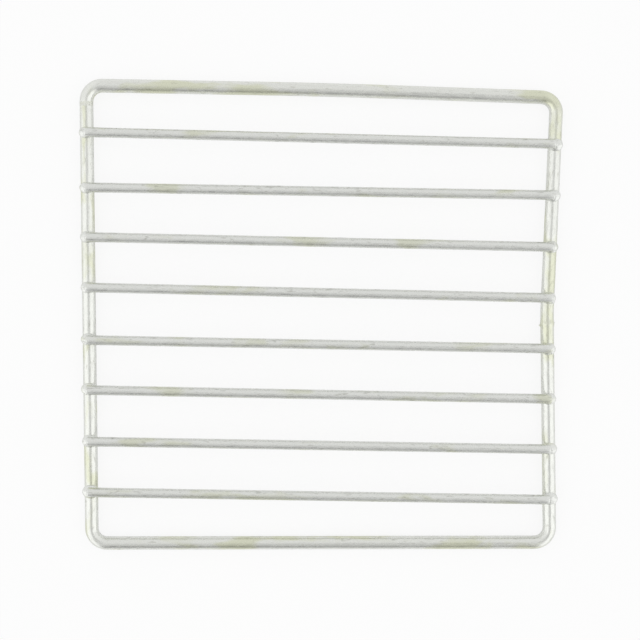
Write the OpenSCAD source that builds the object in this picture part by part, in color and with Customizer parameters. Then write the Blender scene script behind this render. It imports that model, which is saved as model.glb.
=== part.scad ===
// Grill mesh of plated steel wire for a small barbecue: one thick wire bent to a rectangle with
// four rounded corners and butt welded on its right side, and eight thinner bars welded on top.
// Millimetres. +X to the right, +Y to the rear, +Z up. The mesh lies flat on z = 0, bars upwards,
// with its origin below the middle of its outer box.

/* [Frame wire] */
// Diameter of the wire that the frame is bent from
frame_wire_d = 5.5; // [5:0.1:6]
// Width of the frame at its rear, between the centres of its side wires
frame_w = 188.6; // [180:0.2:200]
// How much narrower the frame is at its front
front_narrowing = 0.7; // [0:0.1:1.5]
// Length of the frame's left side between wire centres
frame_l = 185.6; // [182:0.2:200]
// Bend radius of the corners, at the wire's centre
corner_r = 6.3; // [4.5:0.1:9]
// How far the front of the frame stands to the right of the rear
frame_lean = 4; // [0:0.1:6]
// How far the rear left corner stands behind the rear right one
rear_skew = 0.6; // [0:0.1:1.5]
// How far the rear wire bows outwards at its middle
rear_bow = 0.8; // [0.3:0.1:2]

/* [Butt weld of the frame] */
// Length that the right side lost when its ends were pressed together
weld_upset = 4; // [2:0.1:6]
// How far the right side is drawn in beside the weld
weld_pinch = 2.55; // [0.5:0.05:4]
// Distance of that kink in front of the rear right corner
pinch_from_rear = 86.8; // [84:0.2:91]
// Distance of the weld in front of the kink
weld_from_pinch = 4.4; // [4.2:0.1:6]
// Height of the swelling over the wire
weld_flash_h = 0.25; // [0.1:0.05:0.5]
// Radius of the burr on the inner side of the weld
weld_burr_r = 0.6; // [0.4:0.05:0.8]

/* [Bars] */
// Diameter of the bars
bar_d = 4; // [3:0.1:4.5]
// Length of a bar
bar_l = 187.8; // [187:0.1:189.5]
// Distance between neighbouring bars
bar_pitch = 20.7; // [19.5:0.1:21.5]
// Distance of the first bar in front of the rear wire
first_gap = 18.6; // [16:0.1:21]
// How far the middle of the left bar ends stands past the side wire's centre
bar_overhang = 0.65; // [0:0.05:1.5]
// How far the last bar stands to the right of the first
bars_lean = 2.4; // [0:0.1:4]
// Depth that a bar is pressed into the side wires by its welds
bar_sink = 0.8; // [0.3:0.05:1.2]
// Bevel that shearing and plating leave round a bar's ends
bar_end_bevel = 0.5; // [0.2:0.05:0.9]

/* [Bar welds] */
// Thickness of the metal squeezed out over the side wire
flash_t = 0.4; // [0.2:0.05:0.7]
// How far the squeezed metal reaches beside a bar
flash_side = 0.8; // [0.3:0.05:1.2]
// How far the squeezed metal reaches past a bar's end
flash_end = 0.4; // [0.2:0.05:0.8]

/* [Hidden] */
$fn = 96;
// How far each bar sits behind its even place, from the rear bar to the front one
bar_offsets = [0, -0.5, -0.1, 0.2, 0, 0.3, 0.2, 0.1];
// How far the left end of each bar sits behind its right end, in the same order
bar_skews = [0.5, -0.9, 0.1, 0.5, -0.1, 0.2, -0.2, -0.2];
bar_count = len(bar_offsets);
// The bow and the kink are bent over large radii
bow_r = 3000;
pinch_r = 100;
// Bending draws the wire's radius this much thinner, over this length at the ends of a bend
bend_thinning = 0.02;
bend_lap = 0.3;
// The flash of the butt weld is ground off this high over the underside
weld_ground_z = 0.05;

frame_r = frame_wire_d / 2;
bar_r = bar_d / 2;
bar_z = frame_wire_d + bar_r - bar_sink;

// Points where the wire would turn if it had no bend radius, clockwise from the rear left
rear_left = [0, 0];
rear_right = [frame_w, -rear_skew];
front_left = [frame_lean, -frame_l];
front_right = front_left + [frame_w - front_narrowing, weld_upset - rear_skew];
rear_mid = (rear_left + rear_right) / 2 + [0, rear_bow];
pinch = along(rear_right, front_right, pinch_from_rear) - [weld_pinch, 0];
turns = [rear_left, rear_mid, rear_right, pinch, front_right, front_left];
turn_radii = [corner_r, bow_r, corner_r, pinch_r, corner_r, corner_r];
turn_count = len(turns);

// The outer box touches the rounds of the corners and the top of the bow
box_left = bend_centre(0).x - corner_r - frame_r;
box_right = bend_centre(4).x + corner_r + frame_r;
box_rear = bend_centre(1).y + bow_r + frame_r;
box_front = bend_centre(5).y - corner_r - frame_r;
box_mid = [(box_left + box_right) / 2, (box_rear + box_front) / 2];

// Point at a distance from a towards b
function along(a, b, distance) = a + (b - a) * distance / norm(b - a);

// Unit vectors from turn i back to the one before it and on to the next
function back_way(i) =
    let (from = turns[i], to = turns[(i + turn_count - 1) % turn_count]) (to - from) / norm(to - from);
function next_way(i) =
    let (from = turns[i], to = turns[(i + 1) % turn_count]) (to - from) / norm(to - from);

// Half of the inner angle at turn i
function half_angle(i) = acos(back_way(i) * next_way(i)) / 2;

// Distance from turn i to where its bend meets the straight wire
function bend_reach(i) = turn_radii[i] / tan(half_angle(i));
function bend_start(i) = turns[i] + back_way(i) * bend_reach(i);
function bend_end(i) = turns[i] + next_way(i) * bend_reach(i);
function bend_centre(i) =
    let (middle = back_way(i) + next_way(i))
    turns[i] + middle / norm(middle) * turn_radii[i] / sin(half_angle(i));

// True where turn i bends to the right, as the corners do
function bends_right(i) = cross(back_way(i), next_way(i)) > 0;

function heading(v) = atan2(v.y, v.x);

// Straight wire of diameter d between two points in plan. Its ends taper into the bends.
module wire_run(a, b, d) {
    length = norm(b - a);
    tip_r = d / 2 - 2 * bend_thinning;
    translate([a.x, a.y, frame_r])
        rotate([0, 90, heading(b - a)])
            rotate_extrude()
                polygon([
                    [0, -bend_lap],
                    [tip_r, -bend_lap],
                    [d / 2, 0],
                    [d / 2, length],
                    [tip_r, length + bend_lap],
                    [0, length + bend_lap]
                ]);
}

// Bent wire of diameter d at turn i, drawn a little thinner than the straight wire
module wire_bend(i, d) {
    first = bends_right(i) ? bend_end(i) : bend_start(i);
    lap_angle = bend_lap / 2 / turn_radii[i] * 180 / PI;
    translate([bend_centre(i).x, bend_centre(i).y, frame_r])
        rotate([0, 0, heading(first - bend_centre(i)) - lap_angle])
            rotate_extrude(angle = 180 - 2 * half_angle(i) + 2 * lap_angle)
                translate([turn_radii[i], 0])
                    circle(r = d / 2 - bend_thinning);
}

// The closed loop of wire, of diameter d
module wire_loop(d) {
    for (i = [0 : turn_count - 1]) {
        wire_bend(i, d);
        wire_run(bend_end(i), bend_start((i + 1) % turn_count), d);
    }
}

// Swelling and one burr where the ends of the wire were butt welded, ground off below
module butt_weld() {
    weld = along(pinch, front_right, weld_from_pinch);
    difference() {
        translate([weld.x, weld.y, frame_r])
            rotate([0, 0, heading(front_right - pinch)]) {
                sphere(r = frame_r + weld_flash_h);
                rotate([0, 0, 90])
                    translate([-frame_r, -weld_burr_r, 0])
                        sphere(r = weld_burr_r);
            }
        translate([weld.x, weld.y, weld_ground_z - frame_r])
            cube([2 * frame_wire_d, 2 * frame_wire_d, frame_wire_d], center = true);
    }
}

module frame_wire() {
    color("gainsboro")
        translate([-box_mid.x, -box_mid.y, 0]) {
            wire_loop(frame_wire_d);
            butt_weld();
        }
}

// Middle of bar i in plan, on a row that leans with the frame
function bar_middle(i) =
    let (
        depth = first_gap + (i - 1) * bar_pitch,
        row_mid = first_gap + (bar_count - 1) * bar_pitch / 2,
        row_left = along(rear_left, front_left, row_mid).x - bar_overhang,
        lean = bars_lean * ((i - 1) / (bar_count - 1) - 1 / 2)
    )
    [row_left + bar_l / 2 + lean, bar_offsets[i - 1] - rear_skew / 2 - depth];

// Sheared length of wire with bevelled ends, along its own axis
module bar_blank() {
    rotate_extrude()
        polygon([
            [0, 0],
            [bar_r - bar_end_bevel, 0],
            [bar_r, bar_end_bevel],
            [bar_r, bar_l - bar_end_bevel],
            [bar_r - bar_end_bevel, bar_l],
            [0, bar_l]
        ]);
}

// What the welds of a bar squeeze out: metal that hugs the side wires close round the bar
module bar_flash() {
    intersection() {
        translate([0, 0, -flash_end])
            cylinder(r = bar_r + flash_side, h = bar_l + 2 * flash_end);
        children();
    }
}

// Moves its children from the plan of bar i to the bar's own axis, or back
module at_bar(i) {
    translate([bar_middle(i).x, bar_middle(i).y, bar_z])
        rotate([0, 90, -asin(bar_skews[i - 1] / bar_l)])
            translate([0, 0, -bar_l / 2])
                children();
}
module from_bar(i) {
    translate([0, 0, bar_l / 2])
        rotate([0, -90, 0])
            rotate([0, 0, asin(bar_skews[i - 1] / bar_l)])
                translate([-bar_middle(i).x, -bar_middle(i).y, -bar_z])
                    children();
}

// Bar i with the flash of its two welds, saddled over the side wires
module bar(i) {
    color("silver")
        translate([-box_mid.x, -box_mid.y, 0])
            difference() {
                at_bar(i) {
                    bar_blank();
                    bar_flash() from_bar(i) wire_loop(frame_wire_d + 2 * flash_t);
                }
                wire_loop(frame_wire_d);
            }
}

frame_wire();
for (i = [1 : bar_count]) bar(i);
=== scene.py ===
import logging
import math
from dataclasses import dataclass, field
from enum import Enum

import bmesh
import bpy
import numpy as np
from mathutils import Matrix, Vector


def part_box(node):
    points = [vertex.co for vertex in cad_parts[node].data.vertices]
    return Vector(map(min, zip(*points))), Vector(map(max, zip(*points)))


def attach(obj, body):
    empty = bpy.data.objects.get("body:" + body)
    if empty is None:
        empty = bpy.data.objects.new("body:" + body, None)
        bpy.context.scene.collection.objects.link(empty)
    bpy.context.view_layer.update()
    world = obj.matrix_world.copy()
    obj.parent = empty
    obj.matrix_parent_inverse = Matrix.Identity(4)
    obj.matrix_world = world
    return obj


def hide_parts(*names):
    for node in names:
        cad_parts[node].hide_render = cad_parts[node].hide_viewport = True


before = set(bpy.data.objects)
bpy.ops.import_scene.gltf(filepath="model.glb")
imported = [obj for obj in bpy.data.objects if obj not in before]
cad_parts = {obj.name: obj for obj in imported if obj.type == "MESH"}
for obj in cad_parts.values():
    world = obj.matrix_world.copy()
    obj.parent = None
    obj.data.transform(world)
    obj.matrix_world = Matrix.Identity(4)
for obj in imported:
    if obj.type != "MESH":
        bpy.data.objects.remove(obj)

log = logging.getLogger("grill_mesh")

MM = 0.001
WIRE_SIDES = 48
RING_STEP = 0.5 * MM
WIRE_FIELD = "unbent"


class Side(Enum):
    """The two side wires that a bar is welded to, by the sign of their place along X."""

    LEFT = -1
    RIGHT = 1


# Modelling helpers


def deselect_all() -> None:
    """Leave nothing selected and nothing in edit mode."""
    if bpy.context.object and bpy.context.object.mode != "OBJECT":
        bpy.ops.object.mode_set(mode="OBJECT")
    bpy.ops.object.select_all(action="DESELECT")


def only(*objects: bpy.types.Object) -> None:
    """Select these objects alone, and make the first of them active.

    Args:
        objects: the objects to select.
    """
    deselect_all()
    for one in objects:
        one.select_set(True)
    bpy.context.view_layer.objects.active = objects[0]


def to_origin(piece: bpy.types.Object) -> None:
    """Put the piece's place, turn and scale into its mesh."""
    only(piece)
    bpy.ops.object.transform_apply(location=True, rotation=True, scale=True)


def pick_edges(piece: bpy.types.Object, test) -> None:
    """In edit mode, select the edges whose two end points pass a test, and nothing else.

    Args:
        piece: the object in edit mode.
        test: takes the two end points and says whether the edge is picked.
    """
    bpy.ops.mesh.select_all(action="DESELECT")
    bpy.ops.mesh.select_mode(type="EDGE")
    shape = bmesh.from_edit_mesh(piece.data)
    for edge in shape.edges:
        edge.select_set(test(edge.verts[0].co, edge.verts[1].co))
    bmesh.update_edit_mesh(piece.data)


def apply_modifier(piece: bpy.types.Object, kind: str, **settings) -> None:
    """Add a modifier to the piece, set it and apply it.

    Args:
        piece: the object that gets it.
        kind: Blender's name of the modifier.
        settings: its settings by name.
    """
    only(piece)
    modifier = piece.modifiers.new(kind.lower(), kind)
    for name, value in settings.items():
        setattr(modifier, name, value)
    bpy.ops.object.modifier_apply(modifier=modifier.name)


def smooth_shade(piece: bpy.types.Object, angle_deg: float = 40.0) -> None:
    """Shade the piece smooth, with edges sharper than the angle left sharp."""
    only(piece)
    bpy.ops.object.shade_smooth_by_angle(angle=math.radians(angle_deg))


def lumps(name: str, size: float) -> bpy.types.Texture:
    """Make a cloud texture for the lumps of a metal surface.

    Args:
        name: the texture's name.
        size: how far apart the lumps are, in metres.

    Returns:
        The texture.
    """
    clouds = bpy.data.textures.new(name, "CLOUDS")
    clouds.noise_scale = size
    clouds.noise_depth = 2
    clouds.noise_basis = "ORIGINAL_PERLIN"
    return clouds


def write_field(piece: bpy.types.Object, values: np.ndarray) -> None:
    """Keep each point's place on the straight wire, before it was bent, as an attribute.

    Args:
        piece: the object.
        values: one row of three numbers for each point, in metres.
    """
    attribute = piece.data.attributes.new(WIRE_FIELD, "FLOAT_VECTOR", "POINT")
    attribute.data.foreach_set("vector", values.astype(np.float32).ravel())


def points_of(piece: bpy.types.Object) -> np.ndarray:
    """Return the piece's points as rows of x, y and z."""
    flat = np.zeros(len(piece.data.vertices) * 3, np.float32)
    piece.data.vertices.foreach_get("co", flat)
    return flat.reshape(-1, 3).astype(float)


# The frame wire


@dataclass
class Turn:
    """One turn of the wire in plan.

    Attributes:
        place: where the wire would turn if it had no bend radius.
        radius: bend radius at the wire's centre.
    """

    place: Vector
    radius: float


@dataclass
class FrameWire:
    """The thick wire, bent to a closed loop and butt welded on its right side.

    Sizes are in millimetres, as the wire was drawn and bent.
    """

    diameter: float = 5.5
    width: float = 188.6
    front_narrowing: float = 0.7
    length: float = 185.6
    corner_r: float = 6.3
    lean: float = 4.0
    rear_skew: float = 0.6
    rear_bow: float = 0.8
    bow_r: float = 3000.0
    weld_upset: float = 4.0
    weld_pinch: float = 2.55
    pinch_from_rear: float = 86.8
    pinch_r: float = 100.0
    weld_from_pinch: float = 4.4
    weld_swelling: float = 0.22
    weld_spread: float = 1.6
    burr_size: float = 0.55
    lump_size: float = 3.5
    lump_height: float = 0.05
    bend_step_deg: float = 4.0
    turns: list = field(default_factory=list)

    def __post_init__(self) -> None:
        """Work out the turns of the loop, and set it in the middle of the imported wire's box."""
        rear_right = Vector((self.width, -self.rear_skew))
        front_left = Vector((self.lean, -self.length))
        across = Vector((self.width - self.front_narrowing, self.weld_upset - self.rear_skew))
        front_right = front_left + across
        down_right = (front_right - rear_right).normalized()
        pinch = rear_right + down_right * self.pinch_from_rear - Vector((self.weld_pinch, 0.0))
        rear_mid = rear_right / 2 + Vector((0.0, self.rear_bow))
        rounds = (
            (Vector((0.0, 0.0)), self.corner_r),
            (rear_mid, self.bow_r),
            (rear_right, self.corner_r),
            (pinch, self.pinch_r),
            (front_right, self.corner_r),
            (front_left, self.corner_r),
        )
        self.turns = [Turn(place * MM, radius * MM) for place, radius in rounds]
        low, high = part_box("frame_wire")
        reach = (self.corner_r + self.diameter / 2) * MM
        left = self.bend_centre(0).x - reach
        right = self.bend_centre(4).x + reach
        front = self.bend_centre(5).y - reach
        rear = self.bend_centre(1).y + self.turns[1].radius + self.radius
        shift = Vector(((low.x + high.x - left - right) / 2, (low.y + high.y - front - rear) / 2))
        for turn in self.turns:
            turn.place = turn.place + shift

    @property
    def radius(self) -> float:
        """Radius of the wire in metres."""
        return self.diameter / 2 * MM

    def ways(self, index: int) -> tuple[Vector, Vector]:
        """Return the unit vectors from a turn back to the one before it and on to the next."""
        here = self.turns[index].place
        before = self.turns[index - 1].place
        after = self.turns[(index + 1) % len(self.turns)].place
        return (before - here).normalized(), (after - here).normalized()

    def half_angle(self, index: int) -> float:
        """Return half of the inner angle at a turn, in radians."""
        back, onward = self.ways(index)
        return math.acos(max(-1.0, min(1.0, back.dot(onward)))) / 2

    def bend_start(self, index: int) -> Vector:
        """Return where the straight wire before a turn meets its bend."""
        turn = self.turns[index]
        return turn.place + self.ways(index)[0] * turn.radius / math.tan(self.half_angle(index))

    def bend_end(self, index: int) -> Vector:
        """Return where a bend meets the straight wire after it."""
        turn = self.turns[index]
        return turn.place + self.ways(index)[1] * turn.radius / math.tan(self.half_angle(index))

    def bend_centre(self, index: int) -> Vector:
        """Return the centre that a turn is bent round."""
        turn = self.turns[index]
        middle = (self.ways(index)[0] + self.ways(index)[1]).normalized()
        return turn.place + middle * turn.radius / math.sin(self.half_angle(index))

    def bend_angle(self, index: int) -> float:
        """Return the angle of a bend in radians, positive where the wire turns left."""
        back, onward = self.ways(index)
        turned = math.pi - 2 * self.half_angle(index)
        return -turned if back.x * onward.y - back.y * onward.x > 0 else turned

    def weld_place(self) -> Vector:
        """Return the middle of the butt weld in plan."""
        onward = self.ways(3)[1]
        return self.turns[3].place + onward * self.weld_from_pinch * MM

    def run_tube(self, start: Vector, end: Vector) -> bpy.types.Object:
        """Model one straight length of wire, open at both ends.

        Args:
            start: its first end in plan.
            end: its last end in plan.

        Returns:
            The tube.
        """
        along = end - start
        middle = (start + end) / 2
        bpy.ops.mesh.primitive_cylinder_add(
            vertices=WIRE_SIDES, radius=self.radius, depth=along.length, end_fill_type="NOTHING",
            location=(middle.x, middle.y, self.radius),
            rotation=(0.0, math.pi / 2, math.atan2(along.y, along.x)))
        tube = bpy.context.object
        bpy.ops.object.mode_set(mode="EDIT")
        pick_edges(tube, lambda a, b: (a - b).length > 0.9 * along.length)
        bpy.ops.mesh.subdivide(number_cuts=max(1, round(along.length / RING_STEP) - 1))
        bpy.ops.object.mode_set(mode="OBJECT")
        return tube

    def bend_tube(self, index: int) -> bpy.types.Object:
        """Model one bend of the wire by spinning its round section.

        Args:
            index: which turn.

        Returns:
            The tube.
        """
        start = self.bend_start(index)
        back = self.ways(index)[0]
        centre = self.bend_centre(index)
        angle = self.bend_angle(index)
        by_angle = abs(angle) / math.radians(self.bend_step_deg)
        by_length = abs(angle) * self.turns[index].radius / RING_STEP
        steps = max(2, round(min(max(by_angle, 2), by_length) if by_angle > 2 else by_length))
        bpy.ops.mesh.primitive_circle_add(
            vertices=WIRE_SIDES, radius=self.radius, location=(start.x, start.y, self.radius),
            rotation=(0.0, math.pi / 2, math.atan2(-back.y, -back.x)))
        tube = bpy.context.object
        to_origin(tube)
        bpy.ops.object.mode_set(mode="EDIT")
        bpy.ops.mesh.select_all(action="SELECT")
        # The spin operator counts its angle clockwise
        bpy.ops.mesh.spin(steps=steps, angle=-angle, center=(centre.x, centre.y, self.radius),
                          axis=(0.0, 0.0, 1.0))
        bpy.ops.object.mode_set(mode="OBJECT")
        return tube

    def swell_weld(self, loop: bpy.types.Object) -> None:
        """Press the wire's metal outwards in a ring at the butt weld."""
        weld = self.weld_place()
        only(loop)
        bpy.ops.object.mode_set(mode="EDIT")
        reach = self.radius * 1.2
        pick_edges(loop, lambda a, b: all(
            abs(p.y - weld.y) < RING_STEP and abs(p.x - weld.x) < reach for p in (a, b)))
        grown = 1 + self.weld_swelling * MM / self.radius
        bpy.ops.transform.resize(
            value=(grown, 1.0, grown), center_override=(weld.x, weld.y, self.radius),
            use_proportional_edit=True, proportional_edit_falloff="SMOOTH",
            proportional_size=self.weld_spread * MM)
        bpy.ops.object.mode_set(mode="OBJECT")
        # The underside of the weld is ground off, so that the frame lies flat
        for point in loop.data.vertices:
            point.co.z = max(point.co.z, 0.0)

    def add_burr(self, loop: bpy.types.Object, side: float, along: float, size: float) -> None:
        """Fuse a small burr to the butt weld.

        Args:
            loop: the wire.
            side: the burr's place across the wire in mm, negative on the inner side.
            along: its place along Y from the weld in mm.
            size: its radius in mm.
        """
        weld = self.weld_place()
        bpy.ops.mesh.primitive_ico_sphere_add(
            subdivisions=4, radius=size * MM,
            location=(weld.x + side * MM, weld.y + along * MM, self.radius + 0.35 * MM))
        burr = bpy.context.object
        bpy.ops.transform.resize(value=(1.35, 0.8, 1.0))
        to_origin(burr)
        apply_modifier(burr, "DISPLACE", texture=lumps("burr_lumps", 0.6 * MM), strength=0.25 * MM,
                       mid_level=0.5)
        apply_modifier(loop, "BOOLEAN", operation="UNION", solver="EXACT", object=burr)
        bpy.data.objects.remove(burr)

    def unbend(self, points: np.ndarray) -> np.ndarray:
        """Work out where each point lies on the wire before it was bent.

        Args:
            points: rows of x, y and z.

        Returns:
            Rows of length along the wire, place across it and height over its centre.
        """
        best = np.full(len(points), np.inf)
        found = np.zeros((len(points), 3))
        run = 0.0
        plan = points[:, :2]
        for index in range(len(self.turns)):
            centre, angle = self.bend_centre(index), self.bend_angle(index)
            radius = self.turns[index].radius
            offset = plan - np.array(centre)
            first = np.array(self.bend_start(index) - centre)
            turned = np.arctan2(first[0] * offset[:, 1] - first[1] * offset[:, 0], offset @ first)
            share = turned / angle
            away = (np.linalg.norm(offset, axis=1) - radius) * math.copysign(1.0, -angle)
            inside = (share > -0.02) & (share < 1.02) & (np.abs(away) < best)
            values = np.stack([run + share * abs(angle) * radius, away, points[:, 2]], axis=1)
            found[inside], best[inside] = values[inside], np.abs(away[inside])
            run += abs(angle) * radius
            start, end = self.bend_end(index), self.bend_start((index + 1) % len(self.turns))
            way = np.array((end - start).normalized())
            offset = plan - np.array(start)
            along = offset @ way
            away = offset @ np.array([-way[1], way[0]])
            inside = (along > 0) & (along < (end - start).length) & (np.abs(away) < best)
            values = np.stack([run + along, away, points[:, 2]], axis=1)
            found[inside], best[inside] = values[inside], np.abs(away[inside])
            run += (end - start).length
        found[:, 2] -= self.radius
        return found

    def build(self) -> bpy.types.Object:
        """Model the whole wire.

        Returns:
            The finished loop, at the origin.
        """
        tubes = []
        for index in range(len(self.turns)):
            tubes.append(self.bend_tube(index))
            following = (index + 1) % len(self.turns)
            tubes.append(self.run_tube(self.bend_end(index), self.bend_start(following)))
        only(*tubes)
        bpy.ops.object.join()
        loop = bpy.context.object
        loop.name = loop.data.name = "grill_frame"
        to_origin(loop)
        bpy.ops.object.mode_set(mode="EDIT")
        bpy.ops.mesh.select_all(action="SELECT")
        bpy.ops.mesh.remove_doubles(threshold=0.02 * MM)
        bpy.ops.mesh.normals_make_consistent(inside=False)
        bpy.ops.object.mode_set(mode="OBJECT")
        self.swell_weld(loop)
        for side, along, size in ((-2.75, -0.75, self.burr_size), (2.55, 0.4, 0.4), (-0.6, 1.0, 0.3)):
            self.add_burr(loop, side, along, size)
        apply_modifier(loop, "DISPLACE", texture=lumps("frame_lumps", self.lump_size * MM),
                       strength=self.lump_height * MM, mid_level=1.0)
        write_field(loop, self.unbend(points_of(loop)))
        smooth_shade(loop)
        return loop


# The bars


@dataclass
class Flash:
    """Metal squeezed out where a bar is welded to a side wire, in millimetres.

    Attributes:
        rear: how far it stands out behind the bar.
        front: how far it stands out in front of the bar.
        spread: how far it reaches along the bar from the side wire's middle.
        tip: size of the drop at the bar's end, on its front side.
    """

    rear: float = 0.5
    front: float = 0.4
    spread: float = 3.0
    tip: float = 0.0


@dataclass
class Bar:
    """One thin wire across the frame, with the flash of its two welds.

    Sizes are in millimetres.
    """

    number: int
    frame_wire: FrameWire
    left: Flash
    right: Flash
    diameter: float = 4.0
    end_bevel: float = 0.7
    lump_size: float = 2.8
    lump_height: float = 0.06

    @property
    def node(self) -> str:
        """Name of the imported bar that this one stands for."""
        return f"bar_{self.number}"

    @property
    def radius(self) -> float:
        """Radius of the bar in metres."""
        return self.diameter / 2 * MM

    def blank(self) -> bpy.types.Object:
        """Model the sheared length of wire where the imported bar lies.

        Returns:
            The wire, with bevelled ends.
        """
        ends = self.end_points()
        along = ends[1] - ends[0]
        middle = (ends[0] + ends[1]) / 2
        bpy.ops.mesh.primitive_cylinder_add(
            vertices=WIRE_SIDES, radius=self.radius, depth=along.length, location=middle,
            rotation=(0.0, math.pi / 2, math.atan2(along.y, along.x)))
        bar = bpy.context.object
        bar.name = bar.data.name = f"grill_bar_{self.number}"
        to_origin(bar)
        bpy.ops.object.mode_set(mode="EDIT")
        half = along.length / 2
        pick_edges(bar, lambda a, b: (a - b).length < half and a.x * b.x > 0)
        bpy.ops.mesh.bevel(offset=self.end_bevel * MM, segments=5, profile=0.5)
        pick_edges(bar, lambda a, b: (a - b).length > half)
        bpy.ops.mesh.subdivide(number_cuts=round(along.length / RING_STEP))
        bpy.ops.object.mode_set(mode="OBJECT")
        return bar

    def end_points(self) -> tuple[Vector, Vector]:
        """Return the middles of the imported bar's left and right ends."""
        co = points_of(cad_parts[self.node])
        ends = []
        top = co[:, 2].max()
        for outer in (co[:, 0].min(), co[:, 0].max()):
            upper = co[(np.abs(co[:, 0] - outer) < 8 * MM) & (co[:, 2] > top - 0.2 * MM)]
            ends.append(Vector((outer, float(upper[:, 1].mean()), top - self.radius)))
        return ends[0], ends[1]

    def side_wire_x(self, side: Side, y: float) -> float:
        """Return the place along X of a side wire's middle at a place along Y."""
        turns = self.frame_wire.turns
        if side is Side.LEFT:
            a, b = turns[5].place, turns[0].place
        else:
            a, b = (turns[3].place, turns[2].place) if y > turns[3].place.y else (
                turns[4].place, turns[3].place)
        return a.x + (b.x - a.x) * (y - a.y) / (b.y - a.y)

    def drop(self, place: tuple[float, float, float], radii: tuple[float, float, float],
             seed_shift: float) -> bpy.types.Object:
        """Model one squeezed-out drop of metal.

        Args:
            place: its middle in metres.
            radii: its three half sizes in millimetres.
            seed_shift: moves the pattern of its lumps.

        Returns:
            The drop.
        """
        bpy.ops.mesh.primitive_ico_sphere_add(subdivisions=5, radius=MM, location=place)
        drop = bpy.context.object
        bpy.ops.transform.resize(value=radii)
        to_origin(drop)
        apply_modifier(drop, "DISPLACE", texture=lumps("drop_lumps", (0.9 + seed_shift) * MM),
                       strength=0.35 * MM, mid_level=0.6)
        return drop

    def weld(self, bar: bpy.types.Object, side: Side, flash: Flash) -> None:
        """Fuse the flash of one weld to the bar.

        Args:
            bar: the bar.
            side: which side wire it is welded to.
            flash: the size of the squeezed-out metal.
        """
        ends = self.end_points()
        end = ends[0] if side is Side.LEFT else ends[1]
        wire_x = self.side_wire_x(side, end.y)
        contact = self.frame_wire.diameter * MM - 0.4 * MM
        width = self.diameter / 2 + (flash.rear + flash.front) / 2
        middle_y = end.y + (flash.rear - flash.front) / 2 * MM
        drops = [self.drop((wire_x, middle_y, contact), (flash.spread, width, 1.55), 0.03 * self.number)]
        if flash.tip > 0:
            drops.append(self.drop(
                (end.x - side.value * 0.2 * MM, end.y - 1.5 * MM, contact + 0.2 * MM),
                (flash.tip, flash.tip * 0.8, 0.9), 0.05 * self.number))
        for drop in drops:
            apply_modifier(bar, "BOOLEAN", operation="UNION", solver="EXACT", object=drop)
            bpy.data.objects.remove(drop)

    def build(self) -> bpy.types.Object:
        """Model the bar and its welds.

        Returns:
            The finished bar, at the origin.
        """
        bar = self.blank()
        apply_modifier(bar, "DISPLACE", texture=lumps("bar_lumps", self.lump_size * MM),
                       strength=self.lump_height * MM, mid_level=1.0)
        self.weld(bar, Side.LEFT, self.left)
        self.weld(bar, Side.RIGHT, self.right)
        ends = self.end_points()
        points = points_of(bar)
        start = np.array(ends[0])
        way = np.array((ends[1] - ends[0]).normalized())
        across = np.array([-way[1], way[0], 0.0])
        offset = points - start
        row = np.stack([offset @ way + self.number, offset @ across, offset[:, 2]], axis=1)
        write_field(bar, row)
        smooth_shade(bar)
        return bar


# Materials


class Nodes:
    """Short forms for building a node tree."""

    def __init__(self, tree: bpy.types.NodeTree) -> None:
        """Start on an emptied tree."""
        self.tree = tree
        tree.nodes.clear()

    def add(self, kind: str, **settings) -> bpy.types.Node:
        """Add a node and set it.

        Args:
            kind: Blender's name of the node.
            settings: node settings by name.

        Returns:
            The node.
        """
        node = self.tree.nodes.new(kind)
        for name, value in settings.items():
            setattr(node, name, value)
        return node

    def feed(self, socket: bpy.types.NodeSocket, value) -> None:
        """Link a socket to an input, or set the input to a number, vector or colour."""
        if isinstance(value, bpy.types.NodeSocket):
            self.tree.links.new(value, socket)
        else:
            socket.default_value = value

    def math(self, operation: str, *values, clamp: bool = False) -> bpy.types.NodeSocket:
        """Add a Math node and return its result."""
        node = self.add("ShaderNodeMath", operation=operation, use_clamp=clamp)
        for index, value in enumerate(values):
            self.feed(node.inputs[index], value)
        return node.outputs[0]

    def ramp(self, value, low: float, high: float, out_low: float = 0.0, out_high: float = 1.0,
             smooth: bool = True) -> bpy.types.NodeSocket:
        """Map a value from one range to another, smoothly and clamped.

        Args:
            value: the socket or number to map.
            low: where the result is out_low.
            high: where the result is out_high.
            out_low: the result at low.
            out_high: the result at high.
            smooth: False for a straight ramp.

        Returns:
            The mapped value.
        """
        node = self.add("ShaderNodeMapRange",
                        interpolation_type="SMOOTHSTEP" if smooth else "LINEAR", clamp=True)
        for index, one in enumerate((value, low, high, out_low, out_high)):
            self.feed(node.inputs[index], one)
        return node.outputs[0]

    def mix(self, factor, low, high) -> bpy.types.NodeSocket:
        """Mix two colours by a factor and return the result."""
        node = self.add("ShaderNodeMix", data_type="RGBA")
        self.feed(node.inputs["Factor"], factor)
        self.feed(node.inputs[6], low)
        self.feed(node.inputs[7], high)
        return node.outputs[2]

    def noise(self, place, scale: float, detail: float = 3.0, roughness: float = 0.55,
              distortion: float = 0.0) -> bpy.types.NodeSocket:
        """Add a noise at a place and return its value from 0 to 1."""
        node = self.add("ShaderNodeTexNoise")
        self.feed(node.inputs["Vector"], place)
        for name, value in (("Scale", scale), ("Detail", detail), ("Roughness", roughness),
                            ("Distortion", distortion)):
            self.feed(node.inputs[name], value)
        return node.outputs[0]

    def stretch(self, place, factors: tuple[float, float, float]) -> bpy.types.NodeSocket:
        """Multiply a place by three factors."""
        node = self.add("ShaderNodeVectorMath", operation="MULTIPLY")
        self.feed(node.inputs[0], place)
        self.feed(node.inputs[1], factors)
        return node.outputs[0]


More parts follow.
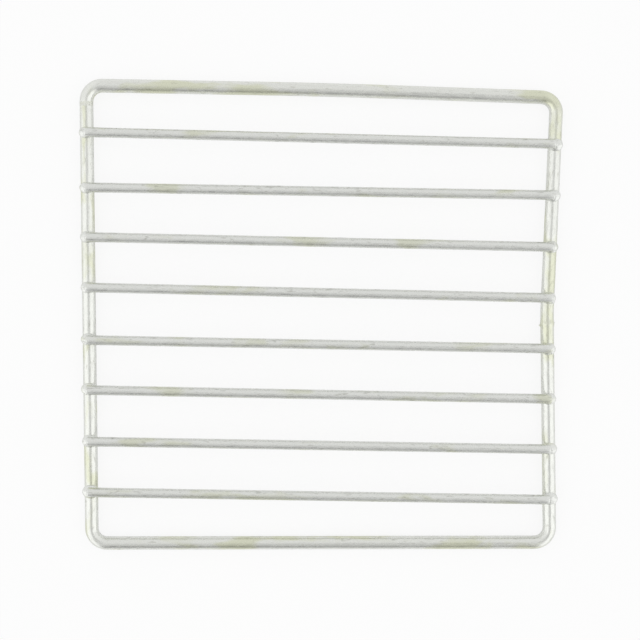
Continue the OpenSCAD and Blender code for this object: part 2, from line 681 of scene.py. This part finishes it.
@dataclass(frozen=True)
class Plating:
    """Finish of bright zinc plating on drawn steel wire.

    Attributes:
        name: the material's name.
        bright: colour of the clean plating.
        olive: colour where it has yellowed.
        grime: colour of the dark marks.
        tint: how much of the surface has yellowed, from 0 to 1.
        dirt: how strong the dark marks are, from 0 to 1.
        gloss: lowest and highest roughness.
        ripple: height of the drawn ripples in metres.
    """

    name: str
    bright: tuple[float, float, float]
    olive: tuple[float, float, float]
    grime: tuple[float, float, float]
    tint: float
    dirt: float
    gloss: tuple[float, float]
    ripple: float

    def material(self) -> bpy.types.Material:
        """Build the material.

        Returns:
            The material.
        """
        made = bpy.data.materials.new(self.name)
        made.use_nodes = True
        n = Nodes(made.node_tree)
        out = n.add("ShaderNodeOutputMaterial")
        shader = n.add("ShaderNodeBsdfPrincipled")
        shader.inputs["Metallic"].default_value = 1.0
        n.tree.links.new(shader.outputs[0], out.inputs["Surface"])
        wire = n.add("ShaderNodeAttribute", attribute_name=WIRE_FIELD).outputs["Vector"]
        streak = n.noise(n.stretch(wire, (0.3, 1.0, 1.0)), 900.0, 4.0, 0.6, 0.4)
        patch = n.noise(n.stretch(wire, (0.35, 1.0, 1.0)), 130.0, 3.0, 0.55, 0.3)
        olive = n.ramp(patch, 0.62 - 0.4 * self.tint, 0.78 - 0.4 * self.tint)
        dark = n.math("MULTIPLY", n.ramp(streak, 0.56, 0.72), self.dirt)
        colour = n.mix(olive, (*self.bright, 1.0), (*self.olive, 1.0))
        colour = n.mix(dark, colour, (*self.grime, 1.0))
        n.feed(shader.inputs["Base Color"], colour)
        n.feed(shader.inputs["Roughness"], n.ramp(streak, 0.3, 0.7, *self.gloss))
        ripple = n.noise(n.stretch(wire, (0.4, 1.0, 1.0)), 420.0, 3.0, 0.6, 0.5)
        bump = n.add("ShaderNodeBump")
        bump.inputs["Strength"].default_value = 1.0
        bump.inputs["Distance"].default_value = self.ripple
        n.feed(bump.inputs["Height"], ripple)
        n.feed(shader.inputs["Normal"], bump.outputs[0])
        return made


# Studio


@dataclass
class Studio:
    """White floor, tent of soft light and the camera above the grill.

    Attributes:
        aim: the point that the camera looks at, in metres.
        away: direction from that point to the camera.
        roll: turn of the picture in radians.
        distance: from that point to the camera, in metres.
        lens: focal length in mm.
        sensor: sensor width in mm.
    """

    aim: tuple[float, float, float] = (-0.000476, 0.00014, 0.0)
    away: tuple[float, float, float] = (-0.02508, 0.08682, 0.9959)
    roll: float = -0.02158
    distance: float = 0.65
    lens: float = 89.75
    sensor: float = 36.0
    floor_size: float = 6.0

    def camera(self) -> bpy.types.Object:
        """Set the camera where the photograph was taken from."""
        data = bpy.data.cameras.new("camera")
        data.lens, data.sensor_width = self.lens, self.sensor
        data.clip_start, data.clip_end = 0.05, 20.0
        camera = bpy.data.objects.new("camera", data)
        bpy.context.scene.collection.objects.link(camera)
        back = Vector(self.away).normalized()
        up = Vector((math.sin(self.roll), math.cos(self.roll), 0.0))
        up = (up - back * up.dot(back)).normalized()
        right = up.cross(back)
        camera.location = Vector(self.aim) + back * self.distance
        turned = np.array([right, up, back]).T
        camera.rotation_mode = "QUATERNION"
        camera.rotation_quaternion = Matrix(turned.tolist()).to_quaternion()
        bpy.context.scene.camera = camera
        return camera

    def floor(self) -> bpy.types.Object:
        """Lay the white floor that the grill rests on."""
        bpy.ops.mesh.primitive_plane_add(size=self.floor_size, location=(0.0, 0.0, 0.0))
        floor = bpy.context.object
        floor.name = "floor"
        made = bpy.data.materials.new("white_floor")
        made.use_nodes = True
        n = Nodes(made.node_tree)
        out = n.add("ShaderNodeOutputMaterial")
        paint = n.add("ShaderNodeBsdfDiffuse")
        paint.inputs["Color"].default_value = (0.92, 0.92, 0.92, 1.0)
        glow = n.add("ShaderNodeEmission")
        glow.inputs["Color"].default_value = (1.0, 1.0, 1.0, 1.0)
        rays = n.add("ShaderNodeLightPath")
        seen = n.math("MULTIPLY", rays.outputs["Is Camera Ray"], 0.85)
        mirrored = n.math("MULTIPLY", rays.outputs["Is Glossy Ray"], 0.3)
        mixed = n.add("ShaderNodeMixShader")
        n.feed(mixed.inputs[0], n.math("ADD", seen, mirrored, clamp=True))
        n.tree.links.new(paint.outputs[0], mixed.inputs[1])
        n.tree.links.new(glow.outputs[0], mixed.inputs[2])
        n.tree.links.new(mixed.outputs[0], out.inputs["Surface"])
        floor.data.materials.append(made)
        return floor

    def tent(self) -> None:
        """Light the grill from a white tent that is dimmer towards the front."""
        world = bpy.data.worlds.new("tent")
        bpy.context.scene.world = world
        world.use_nodes = True
        n = Nodes(world.node_tree)
        out = n.add("ShaderNodeOutputWorld")
        place = n.add("ShaderNodeTexCoord").outputs["Generated"]
        split = n.add("ShaderNodeSeparateXYZ")
        n.feed(split.inputs[0], place)
        x, y, z = split.outputs
        sideways = n.ramp(n.math("ABSOLUTE", x), 0.12, 0.5)
        ahead = n.ramp(y, -0.95, 0.45, 0.52, 0.86)
        panels = n.ramp(y, -0.05, 0.1, 1.2, 0.95)
        level = n.math("ADD", ahead, n.math("MULTIPLY", sideways, n.math("SUBTRACT", panels, ahead)))
        slit = n.math("MULTIPLY", n.ramp(n.math("ABSOLUTE", n.math("SUBTRACT", x, 0.11)), 0.02, 0.05, 1, 0),
                      n.math("MULTIPLY", n.ramp(n.math("ABSOLUTE", n.math("ADD", y, 0.08)), 0.2, 0.3, 1, 0),
                             n.ramp(z, 0.5, 0.8)))
        level = n.math("MULTIPLY", level, n.math("SUBTRACT", 1.0, n.math("MULTIPLY", slit, 0.4)))
        edge_depth = n.ramp(x, -0.12, 0.0, 0.75, 0.35)
        edge = n.ramp(n.math("ABSOLUTE", n.math("ADD", y, 0.83)), 0.02, 0.07, 1, 0)
        near = n.ramp(n.math("ABSOLUTE", x), 0.2, 0.4, 1, 0)
        edge = n.math("MULTIPLY", n.math("MULTIPLY", edge, edge_depth), near)
        level = n.math("MULTIPLY", level, n.math("SUBTRACT", 1.0, edge))
        rays = n.add("ShaderNodeLightPath")
        tent = n.add("ShaderNodeBackground")
        n.feed(tent.inputs["Strength"], level)
        white = n.add("ShaderNodeBackground")
        white.inputs["Strength"].default_value = 1.0
        white.inputs["Color"].default_value = (1.0, 1.0, 1.0, 1.0)
        tent.inputs["Color"].default_value = (1.0, 1.0, 1.0, 1.0)
        mixed = n.add("ShaderNodeMixShader")
        n.feed(mixed.inputs[0], rays.outputs["Is Camera Ray"])
        n.tree.links.new(tent.outputs[0], mixed.inputs[1])
        n.tree.links.new(white.outputs[0], mixed.inputs[2])
        n.tree.links.new(mixed.outputs[0], out.inputs["Surface"])

    def build(self) -> None:
        """Set up camera, floor and light."""
        bpy.context.scene.view_settings.view_transform = "Standard"
        self.camera()
        self.floor()
        self.tent()


FLASHES = (
    (Flash(0.3, 0.5, 3.0, 1.0), Flash(0.3, 1.0, 3.0, 1.3)),
    (Flash(0.3, 0.5, 3.0, 0.9), Flash(0.3, 0.8, 3.0, 1.2)),
    (Flash(0.4, 0.5, 3.0, 0.9), Flash(0.5, 0.7, 3.0, 1.1)),
    (Flash(0.3, 0.5, 3.0, 0.9), Flash(0.4, 0.6, 3.0, 1.2)),
    (Flash(0.7, 0.4, 3.2, 0.9), Flash(0.3, 0.9, 3.0, 1.3)),
    (Flash(0.8, 0.4, 3.4, 0.9), Flash(0.3, 0.6, 3.0, 1.1)),
    (Flash(0.7, 0.8, 3.2, 1.1), Flash(0.5, 0.6, 3.2, 1.0)),
    (Flash(0.9, 0.9, 3.4, 1.1), Flash(0.8, 0.5, 3.2, 1.0)),
)


def main() -> None:
    """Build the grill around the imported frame."""
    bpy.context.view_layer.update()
    studio = Studio()
    studio.build()
    frame_plating = Plating("frame_plating", (0.80, 0.81, 0.77), (0.72, 0.735, 0.585),
                            (0.36, 0.36, 0.30), 0.35, 0.45, (0.16, 0.34), 0.00012)
    bar_plating = Plating("bar_plating", (0.78, 0.79, 0.76), (0.70, 0.715, 0.60),
                          (0.34, 0.34, 0.30), 0.25, 0.5, (0.2, 0.4), 0.00012)
    wire = FrameWire()
    loop = wire.build()
    loop.data.materials.clear()
    loop.data.materials.append(frame_plating.material())
    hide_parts("frame_wire")
    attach(loop, "root")
    log.info("built %s", loop.name)
    bar_finish = bar_plating.material()
    for number, (left, right) in enumerate(FLASHES, start=1):
        bar = Bar(number, wire, left, right)
        piece = bar.build()
        piece.data.materials.clear()
        piece.data.materials.append(bar_finish)
        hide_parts(bar.node)
        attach(piece, "root")
        log.info("built %s", piece.name)


if __name__ == "__main__":
    logging.basicConfig(level=logging.INFO)
    main()
